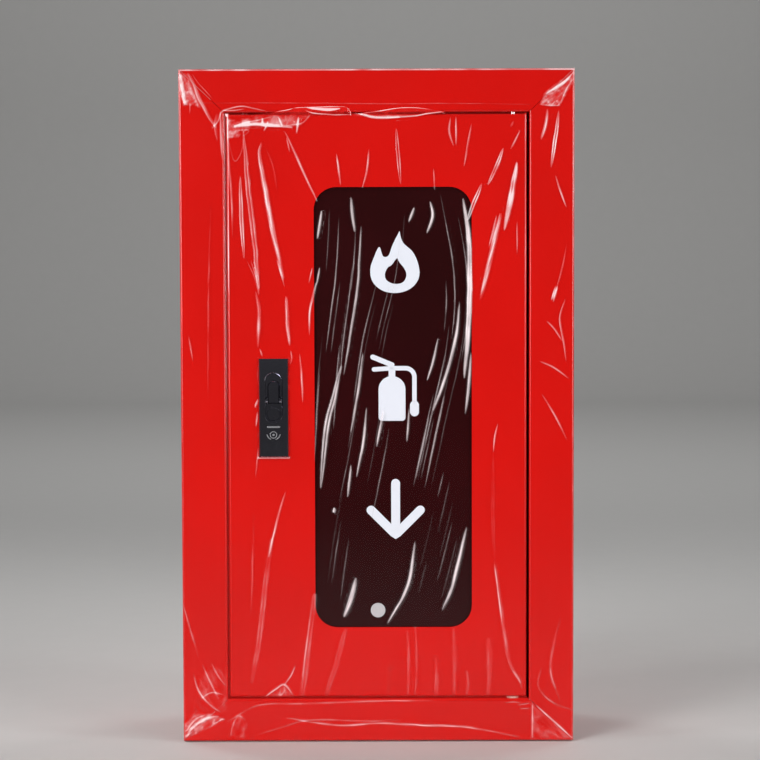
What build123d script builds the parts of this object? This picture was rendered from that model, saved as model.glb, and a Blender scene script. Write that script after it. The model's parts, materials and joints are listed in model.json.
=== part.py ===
from build123d import *

import os

# Recessed fire extinguisher cabinet in folded sheet steel: a mitred frame on the wall, a case behind it,
# and a door with a window and a flush lever lock.
# Millimetres. X runs to the right as seen from the room, Y into the wall and Z up, so the room is at -Y.
# The origin is the middle of the outside of the back, which lies on the wall inside the niche.

# Frame: four folded members, mitred at the corners
frame_width = 350.0
frame_height = 600.0
stile_face = 40.0  # width of the face of an upright member
rail_face = 38.0  # width of the face of the top and bottom members
frame_stand = 12.0  # how far the face stands out from the wall
frame_sheet = 1.2
frame_bend = 2.0  # outside radius of a bend
frame_hem = 10.0  # lip turned in flat on the wall
jamb_depth = 17.0  # return beside the door, measured from the face
mitre_gap = 0.3

# Case: a wall on each side, folded out behind the frame, and a flat back welded on their ends
case_margin = 10.0  # from the door opening to the inside of a case wall
case_depth = 138.0  # from the plane of the room's wall, where the frame's hem lies, to the back
case_sheet = 1.2
case_bend = 2.2
case_flange = 12.0
fixing_radius = 4.0  # wall screw holes in the back
fixing_inset_x = 50.0  # hole centre from the inside of a side wall
fixing_inset_z = 50.0  # hole centre from the inside of the top or bottom

# Door: a folded pan with lips turned in at the back
door_gap = 2.2
door_depth = 18.0
door_sheet = 1.2
door_bend = 2.0
door_lip = 10.0

# Pivot: a pin at the top and one at the bottom, near the door's right edge
pivot_inset = 12.0  # axis from the door's right edge
pivot_setback = 6.5  # axis behind the door's face
pin_radius = 2.5
pin_head_radius = 4.5
pin_head_height = 2.0
pin_reach = 10.0  # how far the pin enters the door
pin_fit = 0.05  # radial play of a pin in the frame and of a bush in the door
bush_play = 0.08  # radial play of the bush on the pin
bush_radius = 4.2
bush_length = 9.0
washer_radius = 5.5
rest_gap = 0.3  # between two pieces that slide or stop on each other

# Window: cut in the door, with a pane held behind it
window_from_left = 76.8  # from each edge of the door to the window's cut edge
window_from_right = 48.8
window_from_top = 63.9
window_from_bottom = 62.7
window_radius = 20.0
seal_setback = 2.0  # the seal's inner edge from the cut edge
seal_width = 8.0
seal_thickness = 1.0
pane_overlap = 12.0
pane_thickness = 3.0
pane_corner = 8.0
marker_radius = 6.5
marker_thickness = 0.5
marker_from_left = 56.0  # disc centre from the window's cut edges
marker_from_bottom = 15.1

# Clips, studs and nuts that hold the pane
clip_width = 12.0
clip_sheet = 1.0
clip_grip = 7.0  # how far a clip reaches over the pane
clip_foot = 14.0
clip_gap = 1.0  # from the pane's edge to the clip's riser
clip_inset = 69.5  # from the pane's top or bottom edge to the middle of a clip
stud_radius = 2.0
stud_length = 9.0
nut_flats = 7.0
nut_height = 3.2
thread_play = 0.1

# Lock: a die-cast body through the door, with a lever and a key cylinder in its recess
lock_inset = 40.3  # lock's centre line from the door's left edge
lock_z = 0.0
bezel_lap_x = 3.0  # how far the bezel reaches past the body
bezel_lap_z = 6.0
bezel_thickness = 2.5
bezel_bevel = 0.8
body_width = 20.0
body_height = 76.0
body_depth = 13.0  # behind the door's face
cutout_play = 0.3
recess_width = 15.0
recess_top = 31.0  # above the lock's centre
recess_depth = 9.0
recess_bevel = 0.7
pad_size = 15.8
pad_z = -21.8
pad_rise = 0.8
clamp_sheet = 1.5
clamp_margin = 6.0
clamp_screw_gap = 3.0  # from the body's end to a screw's axis
screw_radius = 1.5
screw_head_flats = 5.5
screw_head_height = 2.0
screw_engagement = 1.4
screw_play = 0.1

# Lever: pulled out by its top end
lever_width = 10.4
lever_top = 24.0
lever_bottom = 4.0
lever_pivot_z = 6.5
lever_pivot_depth = 5.0  # behind the bezel's face
lever_plate = 2.6
lever_set_in = 1.0  # the lever's face behind the bezel's face
lever_hub_radius = 2.6
lever_hub_play = 0.4  # from the hub's end to the side of the recess
lever_pin_radius = 1.2
lever_pin_play = 0.05
lever_lip = 2.2
lever_bevel = 0.8  # along its front edges

# Key cylinder and cam
key_z = -5.4
key_radius = 6.0
key_play = 0.06
key_set_in = 1.0
key_rim = 1.0
key_rim_rise = 0.7
key_rim_bevel = 0.5
key_slot_width = 1.4
key_slot_height = 7.0
key_slot_depth = 4.0
boss_width = 18.0
boss_height = 3.0
cam_width = 14.0
cam_reach = 46.0
cam_sheet = 2.4
cam_behind_strike = 2.0
cam_stud_radius = 3.0
cam_stud_end = 1.0  # past the nut
cam_nut_flats = 10.0
cam_nut_height = 3.5

# Strike: an angle on the left wall of the case, which also stops the door
strike_sheet = 1.5
strike_bend = 2.2
strike_height = 60.0
strike_overlap = 11.0  # how far it reaches behind the door
strike_flange = 15.0

overcut = 1.0  # how far a cut runs past the sheet that it goes through

# Places that follow from the sizes
face_y = -case_depth - frame_stand
opening_width = frame_width - 2 * stile_face
opening_height = frame_height - 2 * rail_face
door_width = opening_width - 2 * door_gap
door_height = opening_height - 2 * door_gap
door_back_y = face_y + door_depth
door_inside_y = face_y + door_sheet
case_width = opening_width + 2 * case_margin
case_height = opening_height + 2 * case_margin
case_front_y = face_y + frame_sheet
pivot_x = door_width / 2 - pivot_inset
pivot_y = face_y + pivot_setback
seal_y = door_inside_y
pane_y = seal_y + seal_thickness
window_width = door_width - window_from_left - window_from_right
window_height = door_height - window_from_top - window_from_bottom
window_x = (window_from_left - window_from_right) / 2
window_z = (window_from_bottom - window_from_top) / 2
marker_x = window_x - window_width / 2 + marker_from_left
marker_z = window_z - window_height / 2 + marker_from_bottom
pane_width = window_width + 2 * pane_overlap
pane_height = window_height + 2 * pane_overlap
lock_x = -door_width / 2 + lock_inset
bezel_width = body_width + 2 * bezel_lap_x
bezel_height = body_height + 2 * bezel_lap_z
clamp_screw_z = body_height / 2 + clamp_screw_gap
bezel_y = face_y - bezel_thickness
body_back_y = face_y + body_depth
recess_floor_y = bezel_y + recess_depth
lever_y = bezel_y + lever_set_in
lever_axis_y = bezel_y + lever_pivot_depth
lever_axis_z = lock_z + lever_pivot_z
key_axis_z = lock_z + key_z
key_y = bezel_y + key_set_in
strike_y = door_back_y + rest_gap
cam_y = strike_y + strike_sheet + cam_behind_strike
cam_back_y = cam_y + cam_sheet

os.makedirs("parts", exist_ok=True)


def front_plane(y, x=0.0, z=0.0):
    """A sketch plane facing the wall: sketch X is X, sketch Y is -Z, and it extrudes towards +Y."""
    return Plane(origin=(x, y, z), x_dir=(1, 0, 0), z_dir=(0, 1, 0))


def write(piece, name):
    """Label a finished piece and write it under its own name."""
    piece.label = name
    export_step(piece, f"parts/{name}.step")


def folded_sheet(points, bend, sheet, side):
    """The closed outline of a sheet folded along points, which are on the outside of its bends."""
    with BuildSketch() as outline:
        with BuildLine():
            if bend:
                FilletPolyline(*points, radius=bend)
            else:
                Polyline(*points)
            offset(amount=sheet, side=side, kind=Kind.INTERSECTION)
        make_face()
    return outline.sketch


def frame_member(name, corner, inward, along, length, face, other_face):
    """One mitred member, from an outer corner of the frame. Its mitres run to the corners of the opening."""
    start = Plane(origin=corner, x_dir=inward, z_dir=along)
    finish = start.offset(length)
    skin = [
        (frame_hem, frame_stand),
        (0, frame_stand),
        (0, 0),
        (face, 0),
        (face, jamb_depth),
    ]
    with BuildPart() as member:
        with BuildSketch(start):
            add(folded_sheet(skin, frame_bend, frame_sheet, Side.LEFT))
        extrude(amount=length)
        for end, lengthways in ((start, start.z_dir), (finish, -start.z_dir)):
            mitre = Plane(
                origin=end.origin,
                x_dir=start.y_dir,
                z_dir=face * lengthways - other_face * start.x_dir,
            )
            split(bisect_by=mitre.offset(mitre_gap / 2), keep=Keep.TOP)
        pin_places = [Pos(pivot_x, pivot_y, side * opening_height / 2) for side in (-1, 1)]
        with Locations(*pin_places):
            Cylinder(pin_radius + pin_fit, 2 * (frame_sheet + overcut), mode=Mode.SUBTRACT)
    write(member.part, name)


left, right = -frame_width / 2, frame_width / 2
bottom, top = -frame_height / 2, frame_height / 2
stile = (frame_height, stile_face, rail_face)
rail = (frame_width, rail_face, stile_face)
frame_member("frame_left", (left, face_y, bottom), (1, 0, 0), (0, 0, 1), *stile)
frame_member("frame_top", (left, face_y, top), (0, 0, -1), (1, 0, 0), *rail)
frame_member("frame_right", (right, face_y, top), (-1, 0, 0), (0, 0, -1), *stile)
frame_member("frame_bottom", (right, face_y, bottom), (0, 0, 1), (-1, 0, 0), *rail)


def case_wall(name, middle, outward, along, length):
    """One wall of the case with its flange. middle is on its inside face, behind the frame's face."""
    end = Plane(origin=middle, x_dir=outward, z_dir=along)
    skin = [(case_sheet + case_flange, 0), (0, 0), (0, -case_front_y - case_sheet)]
    with BuildPart() as wall:
        with BuildSketch(end.offset(-length / 2)):
            add(folded_sheet(skin, case_bend, case_sheet, Side.RIGHT))
        extrude(amount=length)
    write(wall.part, name)


side_length = case_height + 2 * case_sheet
case_wall("case_left", (-case_width / 2, case_front_y, 0), (-1, 0, 0), (0, 0, -1), side_length)
case_wall("case_right", (case_width / 2, case_front_y, 0), (1, 0, 0), (0, 0, 1), side_length)
case_wall("case_top", (0, case_front_y, case_height / 2), (0, 0, 1), (-1, 0, 0), case_width)
case_wall("case_bottom", (0, case_front_y, -case_height / 2), (0, 0, -1), (1, 0, 0), case_width)

with BuildPart() as case_back:
    with BuildSketch(front_plane(-case_sheet)):
        Rectangle(case_width + 2 * case_sheet, case_height + 2 * case_sheet)
        with GridLocations(case_width - 2 * fixing_inset_x, case_height - 2 * fixing_inset_z, 2, 2):
            Circle(fixing_radius, mode=Mode.SUBTRACT)
    extrude(amount=case_sheet)
write(case_back.part, "case_back")

with BuildPart() as strike_bracket:
    strike_left = -case_width / 2
    strike_right = -door_width / 2 + strike_overlap
    with BuildSketch(Plane.XY.offset(lock_z - strike_height / 2)):
        skin = [
            (strike_right, strike_y),
            (strike_left, strike_y),
            (strike_left, strike_y + strike_flange),
        ]
        add(folded_sheet(skin, strike_bend, strike_sheet, Side.RIGHT))
    extrude(amount=strike_height)
write(strike_bracket.part, "strike_bracket")

with BuildPart() as door_leaf:
    with BuildSketch(front_plane(face_y)):
        Rectangle(door_width, door_height)
    extrude(amount=door_depth)
    fillet(door_leaf.edges().filter_by(Axis.Y), radius=door_bend)
    fillet(door_leaf.faces().sort_by(Axis.Y)[0].edges(), radius=door_bend)
    with BuildSketch(front_plane(door_inside_y)):
        RectangleRounded(
            door_width - 2 * door_sheet,
            door_height - 2 * door_sheet,
            door_bend - door_sheet,
        )
    extrude(amount=door_depth - 2 * door_sheet, mode=Mode.SUBTRACT)
    with BuildSketch(front_plane(door_back_y + overcut)):
        Rectangle(door_width - 2 * door_lip, door_height - 2 * door_lip)
    extrude(amount=-door_sheet - 2 * overcut, mode=Mode.SUBTRACT)
    with BuildSketch(front_plane(face_y)):
        with Locations((window_x, -window_z)):
            RectangleRounded(window_width, window_height, window_radius)
        with Locations((lock_x, -lock_z)):
            Rectangle(body_width + 2 * cutout_play, body_height + 2 * cutout_play)
        with Locations((lock_x, -lock_z - clamp_screw_z), (lock_x, -lock_z + clamp_screw_z)):
            Circle(screw_radius + screw_play)
    extrude(amount=door_sheet + overcut, mode=Mode.SUBTRACT)
    with Locations((pivot_x, pivot_y, 0)):
        Cylinder(bush_radius + pin_fit, door_height + 2 * overcut, mode=Mode.SUBTRACT)
write(door_leaf.part, "door_leaf")


def pivot_pieces(where, side):
    """The pin and bush at one end of the pivot axis; side is 1 at the top and -1 at the bottom."""
    seat = side * opening_height / 2
    door_edge = side * door_height / 2
    with BuildPart() as pin:
        with BuildSketch(Plane.XZ.offset(-pivot_y)):
            with BuildLine():
                Polyline(
                    (pivot_x, seat + side * (frame_sheet + pin_head_height)),
                    (pivot_x + pin_head_radius, seat + side * (frame_sheet + pin_head_height)),
                    (pivot_x + pin_head_radius, seat + side * frame_sheet),
                    (pivot_x + pin_radius, seat + side * frame_sheet),
                    (pivot_x + pin_radius, door_edge - side * pin_reach),
                    (pivot_x, door_edge - side * pin_reach),
                    close=True,
                )
            make_face()
        revolve(axis=Axis((pivot_x, pivot_y, 0), (0, 0, 1)))
    write(pin.part, f"hinge_pin_{where}")

    with BuildPart() as bush:
        with BuildSketch(Plane.XY.offset(door_edge)):
            with Locations((pivot_x, pivot_y)):
                Circle(bush_radius)
                Circle(pin_radius + bush_play, mode=Mode.SUBTRACT)
        extrude(amount=-side * bush_length)
    write(bush.part, f"hinge_bush_{where}")


pivot_pieces("top", 1)
pivot_pieces("bottom", -1)

with BuildPart() as thrust_washer:
    with BuildSketch(Plane.XY.offset(-opening_height / 2)):
        with Locations((pivot_x, pivot_y)):
            Circle(washer_radius)
            Circle(pin_radius + bush_play, mode=Mode.SUBTRACT)
    extrude(amount=door_gap - rest_gap)
write(thrust_washer.part, "thrust_washer")

with BuildPart() as window_seal:
    with BuildSketch(front_plane(seal_y, window_x, window_z)):
        seal_inner_width = window_width + 2 * seal_setback
        seal_inner_height = window_height + 2 * seal_setback
        seal_radius = window_radius + seal_setback
        RectangleRounded(
            seal_inner_width + 2 * seal_width,
            seal_inner_height + 2 * seal_width,
            seal_radius + seal_width,
        )
        RectangleRounded(seal_inner_width, seal_inner_height, seal_radius, mode=Mode.SUBTRACT)
    extrude(amount=seal_thickness)
write(window_seal.part, "window_seal")

with BuildPart() as window_pane:
    with BuildSketch(front_plane(pane_y, window_x, window_z)):
        RectangleRounded(pane_width, pane_height, pane_corner)
    extrude(amount=pane_thickness)
write(window_pane.part, "window_pane")

with BuildPart() as marker_disc:
    with BuildSketch(front_plane(pane_y, marker_x, marker_z)):
        Circle(marker_radius)
    extrude(amount=-marker_thickness)
write(marker_disc.part, "marker_disc")

# Two clips on each long side of the pane, above and below the lock
clip_row = pane_height / 2 - clip_inset
clip_places = [(side, window_z + row) for side in (-1, 1) for row in (-clip_row, clip_row)]
clip_height = seal_thickness + pane_thickness
stud_offset = pane_width / 2 + clip_gap + clip_sheet + clip_foot / 2
stud_points = [(window_x + side * stud_offset, -z) for side, z in clip_places]


def clip_plane(side, z):
    """Section plane of a clip: sketch X points outwards from the pane's edge and sketch Y into the case."""
    edge = (window_x + side * pane_width / 2, door_inside_y, z)
    return Plane(origin=edge, x_dir=(side, 0, 0), z_dir=(0, 0, side))


with BuildPart() as pane_clips:
    for place in clip_places:
        with BuildSketch(clip_plane(*place).offset(-clip_width / 2)):
            skin = [
                (clip_gap + clip_sheet + clip_foot, 0),
                (clip_gap, 0),
                (clip_gap, clip_height),
                (-clip_grip, clip_height),
            ]
            add(folded_sheet(skin, 0, clip_sheet, Side.RIGHT))
        extrude(amount=clip_width)
    # The foot is forked, so that it slides under its nut
    fork_width = 2 * (stud_radius + thread_play)
    fork_length = (clip_foot + fork_width) / 2 + overcut
    fork_middle = stud_offset - fork_width / 2 + fork_length / 2
    with BuildSketch(front_plane(door_inside_y)):
        with Locations(*[(window_x + side * fork_middle, -z) for side, z in clip_places]):
            Rectangle(fork_length, fork_width)
    extrude(amount=clip_sheet + overcut, mode=Mode.SUBTRACT)
write(pane_clips.part, "pane_clips")

with BuildPart() as pane_studs:
    with BuildSketch(front_plane(door_inside_y)):
        with Locations(*stud_points):
            Circle(stud_radius)
    extrude(amount=stud_length)
write(pane_studs.part, "pane_studs")

with BuildPart() as pane_nuts:
    with BuildSketch(front_plane(door_inside_y + clip_sheet)):
        with Locations(*stud_points):
            RegularPolygon(nut_flats / 2, 6, major_radius=False)
            Circle(stud_radius + thread_play, mode=Mode.SUBTRACT)
    extrude(amount=nut_height)
write(pane_nuts.part, "pane_nuts")

with BuildPart() as lock_body:
    with BuildSketch(front_plane(bezel_y, lock_x, lock_z)):
        Rectangle(bezel_width, bezel_height)
    extrude(amount=bezel_thickness)
    chamfer(lock_body.faces().sort_by(Axis.Y)[0].edges(), length=bezel_bevel)
    with BuildSketch(front_plane(face_y, lock_x, lock_z)):
        Rectangle(body_width, body_height)
    extrude(amount=body_depth)
    with BuildSketch(front_plane(body_back_y, lock_x, key_axis_z)):
        Rectangle(boss_width, boss_width)
    extrude(amount=boss_height)
    with BuildSketch(front_plane(bezel_y, lock_x, lock_z)):
        # A round end above the lever, and one round the key
        recess_radius = recess_width / 2
        with Locations((0, recess_radius - recess_top), (0, -key_z)):
            Circle(recess_radius)
        with Locations((0, -key_z)):
            straight = recess_top - recess_radius - key_z
            Rectangle(recess_width, straight, align=(Align.CENTER, Align.MAX))
    extrude(amount=recess_depth, mode=Mode.SUBTRACT)
    front_face = lock_body.faces().filter_by(Axis.Y).sort_by(Axis.Y)[0]
    chamfer(front_face.inner_wires()[0].edges(), length=recess_bevel)
    with BuildSketch(front_plane(bezel_y, lock_x, lock_z + pad_z)):
        Rectangle(pad_size, pad_size)
    extrude(amount=-pad_rise)
    with BuildSketch(front_plane(recess_floor_y, lock_x, key_axis_z)):
        Circle(key_radius + key_play)
    extrude(amount=body_back_y + boss_height - recess_floor_y, mode=Mode.SUBTRACT)
    with Locations(Plane(origin=(lock_x, lever_axis_y, lever_axis_z), z_dir=(1, 0, 0))):
        Cylinder(lever_pin_radius + lever_pin_play, body_width, mode=Mode.SUBTRACT)
    with BuildSketch(front_plane(face_y, lock_x, lock_z)):
        with Locations((0, clamp_screw_z), (0, -clamp_screw_z)):
            Circle(screw_radius + screw_play)
    extrude(amount=-screw_engagement - screw_play, mode=Mode.SUBTRACT)
write(lock_body.part, "lock_body")

with BuildPart() as lock_clamp:
    with BuildSketch(front_plane(door_inside_y, lock_x, lock_z)):
        Rectangle(body_width + 2 * clamp_margin, bezel_height + clamp_margin)
        Rectangle(body_width + 2 * cutout_play, body_height + 2 * cutout_play, mode=Mode.SUBTRACT)
        with Locations((0, clamp_screw_z), (0, -clamp_screw_z)):
            Circle(screw_radius + screw_play, mode=Mode.SUBTRACT)
    extrude(amount=clamp_sheet)
write(lock_clamp.part, "lock_clamp")

with BuildPart() as lock_screws:
    head_y = door_inside_y + clamp_sheet
    with BuildSketch(front_plane(head_y, lock_x, lock_z)):
        with Locations((0, clamp_screw_z), (0, -clamp_screw_z)):
            RegularPolygon(screw_head_flats / 2, 6, major_radius=False)
    extrude(amount=screw_head_height)
    with BuildSketch(front_plane(head_y, lock_x, lock_z)):
        with Locations((0, clamp_screw_z), (0, -clamp_screw_z)):
            Circle(screw_radius)
    extrude(amount=-(head_y - face_y + screw_engagement))
write(lock_screws.part, "lock_screws")

with BuildPart() as push_lever:
    side_plane = Plane(origin=(lock_x, lever_y, lock_z), x_dir=(0, 1, 0), z_dir=(1, 0, 0))
    with BuildSketch(side_plane):
        with Locations((0, (lever_top + lever_bottom) / 2)):
            Rectangle(lever_plate, lever_top - lever_bottom, align=(Align.MIN, Align.CENTER))
        with Locations((0, lever_top)):
            Rectangle(lever_plate + lever_lip, lever_plate, align=(Align.MIN, Align.MAX))
        with Locations((0, lever_pivot_z)):
            Rectangle(
                lever_axis_y - lever_y,
                2 * lever_hub_radius,
                align=(Align.MIN, Align.CENTER),
            )
    extrude(amount=lever_width / 2, both=True)
    with BuildSketch(front_plane(lever_y, lock_x, lock_z)):
        with Locations((0, lever_width / 2 - lever_top)):
            Circle(lever_width / 2)
            Rectangle(lever_width, lever_top, align=(Align.CENTER, Align.MIN))
    extrude(amount=recess_depth, mode=Mode.INTERSECT)
    chamfer(push_lever.faces().sort_by(Axis.Y)[0].edges(), length=lever_bevel)
    with Locations(Plane(origin=(lock_x, lever_axis_y, lever_axis_z), z_dir=(1, 0, 0))):
        Cylinder(lever_hub_radius, recess_width - 2 * lever_hub_play)
        Cylinder(lever_pin_radius + lever_pin_play, recess_width, mode=Mode.SUBTRACT)
write(push_lever.part, "push_lever")

with BuildPart() as lever_pin:
    with Locations(Plane(origin=(lock_x, lever_axis_y, lever_axis_z), z_dir=(1, 0, 0))):
        Cylinder(lever_pin_radius, body_width - 2 * rest_gap)
write(lever_pin.part, "lever_pin")

with BuildPart() as key_cylinder:
    with BuildSketch(front_plane(key_y, lock_x, key_axis_z)):
        Circle(key_radius)
    extrude(amount=cam_y - key_y)
    with BuildSketch(front_plane(key_y, lock_x, key_axis_z)):
        Circle(key_radius)
        Circle(key_radius - key_rim, mode=Mode.SUBTRACT)
    extrude(amount=-key_rim_rise)
    rim_edges = key_cylinder.faces().sort_by(Axis.Y)[0].outer_wire().edges()
    chamfer(rim_edges, length=key_rim_bevel)
    with BuildSketch(front_plane(key_y, lock_x, key_axis_z)):
        Rectangle(key_slot_width, key_slot_height)
    extrude(amount=key_slot_depth, mode=Mode.SUBTRACT)
    with BuildSketch(front_plane(cam_y, lock_x, key_axis_z)):
        Circle(cam_stud_radius)
    extrude(amount=cam_sheet + cam_nut_height + cam_stud_end)
write(key_cylinder.part, "key_cylinder")

with BuildPart() as lock_cam:
    with BuildSketch(front_plane(cam_y, lock_x, key_axis_z)):
        Circle(cam_width / 2)
        Rectangle(cam_width, cam_reach, align=(Align.CENTER, Align.MIN))
        Circle(cam_stud_radius + thread_play, mode=Mode.SUBTRACT)
    extrude(amount=cam_sheet)
write(lock_cam.part, "lock_cam")

with BuildPart() as cam_nut:
    with BuildSketch(front_plane(cam_back_y, lock_x, key_axis_z)):
        RegularPolygon(cam_nut_flats / 2, 6, major_radius=False)
        Circle(cam_stud_radius + thread_play, mode=Mode.SUBTRACT)
    extrude(amount=cam_nut_height)
write(cam_nut.part, "cam_nut")
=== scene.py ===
"""A recessed fire extinguisher cabinet, still in the clear film that it is wrapped in.

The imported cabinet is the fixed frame, and keeps its own pieces with new finishes. Three thin kinds of piece
lie on it: the film on the frame and on the door, the signs printed on the window, and the mark on the lock.
Lengths are in millimetres until a mesh is made. X runs to the right, Y into the wall and Z up.
"""

import json
import math

import bmesh
import bpy
import numpy as np
from mathutils import Matrix, Vector


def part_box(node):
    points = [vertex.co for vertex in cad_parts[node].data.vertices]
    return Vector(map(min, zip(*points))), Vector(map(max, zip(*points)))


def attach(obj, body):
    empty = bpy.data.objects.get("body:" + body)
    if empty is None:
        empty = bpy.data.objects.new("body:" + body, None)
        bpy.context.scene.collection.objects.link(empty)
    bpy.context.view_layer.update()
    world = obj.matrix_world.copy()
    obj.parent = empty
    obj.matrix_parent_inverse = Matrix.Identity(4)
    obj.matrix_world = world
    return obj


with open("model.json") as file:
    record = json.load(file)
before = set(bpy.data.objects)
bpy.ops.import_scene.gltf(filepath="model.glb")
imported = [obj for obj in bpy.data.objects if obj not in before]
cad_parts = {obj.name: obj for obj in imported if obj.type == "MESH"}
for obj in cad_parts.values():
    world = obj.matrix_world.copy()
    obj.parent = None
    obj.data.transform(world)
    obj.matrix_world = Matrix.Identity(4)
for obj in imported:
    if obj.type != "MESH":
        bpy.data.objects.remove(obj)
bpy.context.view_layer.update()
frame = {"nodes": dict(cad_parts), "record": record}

MM = 0.001


def extent(node):
    """A node's lowest and highest corner, in millimetres."""
    low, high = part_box(node)
    return np.array(low) / MM, np.array(high) / MM


# Places on the cabinet that the new pieces follow
frame_left, frame_top, door = extent("frame_left"), extent("frame_top"), extent("door_leaf")
lock, pane, seal = extent("lock_body"), extent("window_pane"), extent("window_seal")
FACE = door[0][1]  # plane of the painted faces
HALF_WIDTH, HALF_HEIGHT = -frame_left[0][0], frame_top[1][2]
OPENING_HALF_WIDTH, OPENING_HALF_HEIGHT = -frame_left[1][0], frame_top[0][2]
DOOR_HALF_WIDTH, DOOR_HALF_HEIGHT = door[1][0], door[1][2]
PANE_FRONT = pane[0][1]
FRAME_BEND = DOOR_BEND = 2.0  # outside radius of the sheet's bends
FLOOR_GAP = 1.0  # from the floor up to the cabinet
PAD_DROP = 21.8  # from the lock's middle to the middle of its pad
SEAL_REACH = 10.0  # from the window's cut edge to the outer edge of its seal
WINDOW_RADIUS = 20.0  # of the window's corners
LAYERS = 5  # how many folds of the film may lie close together and still be drawn one by one


# Colours and nodes

LOW, HIGH = 0.3, 0.7  # most of a noise's values lie between these


def colour(code):
    """A colour for a socket from an sRGB hex code."""
    shares = [int(code[i : i + 2], 16) / 255 for i in (1, 3, 5)]
    linear = [s / 12.92 if s <= 0.04045 else ((s + 0.055) / 1.055) ** 2.4 for s in shares]
    return (*linear, 1.0)


def add(tree, kind, inputs=None, **settings):
    """Add a node. inputs gives each socket, by name or number, a value or another node's output.

    In a Map Range, 1 and 2 are the ends of what it reads, and 3 and 4 the ends of what it gives. In a Mix of
    colours, 6 and 7 are the colours."""
    made = tree.nodes.new(kind)
    for name, value in settings.items():
        setattr(made, name, value)
    for socket, value in (inputs or {}).items():
        if isinstance(value, bpy.types.NodeSocket):
            tree.links.new(value, made.inputs[socket])
        else:
            made.inputs[socket].default_value = value
    return made


def new_finish(name, **sockets):
    """A material with one Principled shader, its plain values set: the material, its tree and the shader."""
    material = bpy.data.materials.new(name)
    material.use_nodes = True
    tree = material.node_tree
    tree.nodes.clear()
    shader = add(tree, "ShaderNodeBsdfPrincipled", {k.replace("_", " "): v for k, v in sockets.items()})
    add(tree, "ShaderNodeOutputMaterial", {"Surface": shader.outputs[0]})
    return material, tree, shader


def pattern(tree, size, detail=2.0, stretch=(1, 1, 1)):
    """Uneven values over an object's own coordinates. Along each axis a patch is about size millimetres long,
    times that axis's stretch. Most of the values lie between LOW and HIGH."""
    place = add(tree, "ShaderNodeTexCoord").outputs["Object"]
    scale = [1 / (size * MM * s) for s in stretch]
    grid = add(tree, "ShaderNodeMapping", {"Vector": place, "Scale": scale}).outputs[0]
    return add(tree, "ShaderNodeTexNoise", {"Vector": grid, "Scale": 1.0, "Detail": detail}).outputs[0]


def dress(tree, shader, tone, shades, shine=None, roughness=None, height=None, depth=None):
    """Let patterns set a shader's look. The colour goes from the first shade to the second as tone goes from
    0 to 1, and the roughness from its first value to its second as shine goes from LOW to HIGH. The relief is
    depth, in millimetres, times height."""
    first, second = (colour(shade) for shade in shades)
    mix = add(tree, "ShaderNodeMix", {0: tone, 6: first, 7: second}, data_type="RGBA")
    tree.links.new(mix.outputs[2], shader.inputs["Base Color"])
    if shine is not None:
        smooth, rough = roughness
        gloss = add(tree, "ShaderNodeMapRange", {0: shine, 1: LOW, 2: HIGH, 3: smooth, 4: rough})
        tree.links.new(gloss.outputs[0], shader.inputs["Roughness"])
    if height is not None:
        bump = add(tree, "ShaderNodeBump", {"Height": height, "Distance": depth * MM, "Strength": 1.0})
        tree.links.new(bump.outputs[0], shader.inputs["Normal"])


# Finishes

def powder_coat(name, shades, roughness, peel_depth):
    """Polyester powder coat, baked on steel: an even colour with a shine broken up by orange peel."""
    material, tree, shader = new_finish(name, IOR=1.5)
    tone = add(tree, "ShaderNodeMapRange", {0: pattern(tree, 90, 1.0), 1: LOW, 2: HIGH}).outputs[0]
    shine = roughness - 0.01, roughness + 0.01
    # Orange peel is about 1.5 mm from wave to wave
    dress(tree, shader, tone, shades, pattern(tree, 30), shine, pattern(tree, 1.5, 1.0), peel_depth)
    return material


def zinc_plate():
    """Bright zinc plate on steel: grey metal with soft crystal patches and a faint warm and cool play."""
    material, tree, shader = new_finish("bright_zinc_plate", Metallic=1.0)
    patch = pattern(tree, 2.5, 3.0)
    tone = add(tree, "ShaderNodeMapRange", {0: patch, 1: LOW, 2: HIGH}).outputs[0]
    dress(tree, shader, tone, ("#C4C7C9", "#B4B2A6"), patch, (0.22, 0.38), pattern(tree, 0.8), 0.01)
    return material


def ground_steel():
    """Ground steel pins: bright, with fine marks round the axis, drawn 0.3 mm apart so that they show."""
    material, tree, shader = new_finish("ground_steel", Metallic=1.0)
    marks = pattern(tree, 0.3, 1.0, stretch=(20, 20, 1))
    dress(tree, shader, marks, ("#C9C9CB", "#A9AAAD"), marks, (0.18, 0.32), marks, 0.004)
    return material


def nylon():
    """Natural nylon, moulded: a warm off-white, half matt."""
    material, tree, shader = new_finish("natural_nylon", IOR=1.53)
    grain = pattern(tree, 1.2)
    dress(tree, shader, grain, ("#C6C2B4", "#BBB6A6"), grain, (0.4, 0.52), grain, 0.01)
    return material


def foam_rubber():
    """Black foam rubber strip, cut: dull, with open pores about 0.4 mm across."""
    material, tree, shader = new_finish("cut_foam_rubber", IOR=1.5, Roughness=0.85)
    place = add(tree, "ShaderNodeTexCoord").outputs["Object"]
    pores = add(tree, "ShaderNodeTexVoronoi", {"Vector": place, "Scale": 1 / (0.4 * MM)}).outputs["Distance"]
    dress(tree, shader, pores, ("#141414", "#2A2A2A"), height=pores, depth=0.12)
    return material


def smoked_acrylic():
    """Smoked acrylic sheet with a dark print behind it: nearly black with a red-brown depth, and polished."""
    material, tree, shader = new_finish("smoked_acrylic", IOR=1.49, Specular_IOR_Level=0.25)
    tone = add(tree, "ShaderNodeMapRange", {0: pattern(tree, 120, 1.0), 1: LOW, 2: HIGH}).outputs[0]
    # A cast sheet waves by a hundredth of a millimetre over a few centimetres
    wave = pattern(tree, 45, 0.0)
    dress(tree, shader, tone, ("#2E090B", "#270708"), pattern(tree, 8), (0.05, 0.09), wave, 0.02)
    return material


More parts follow.
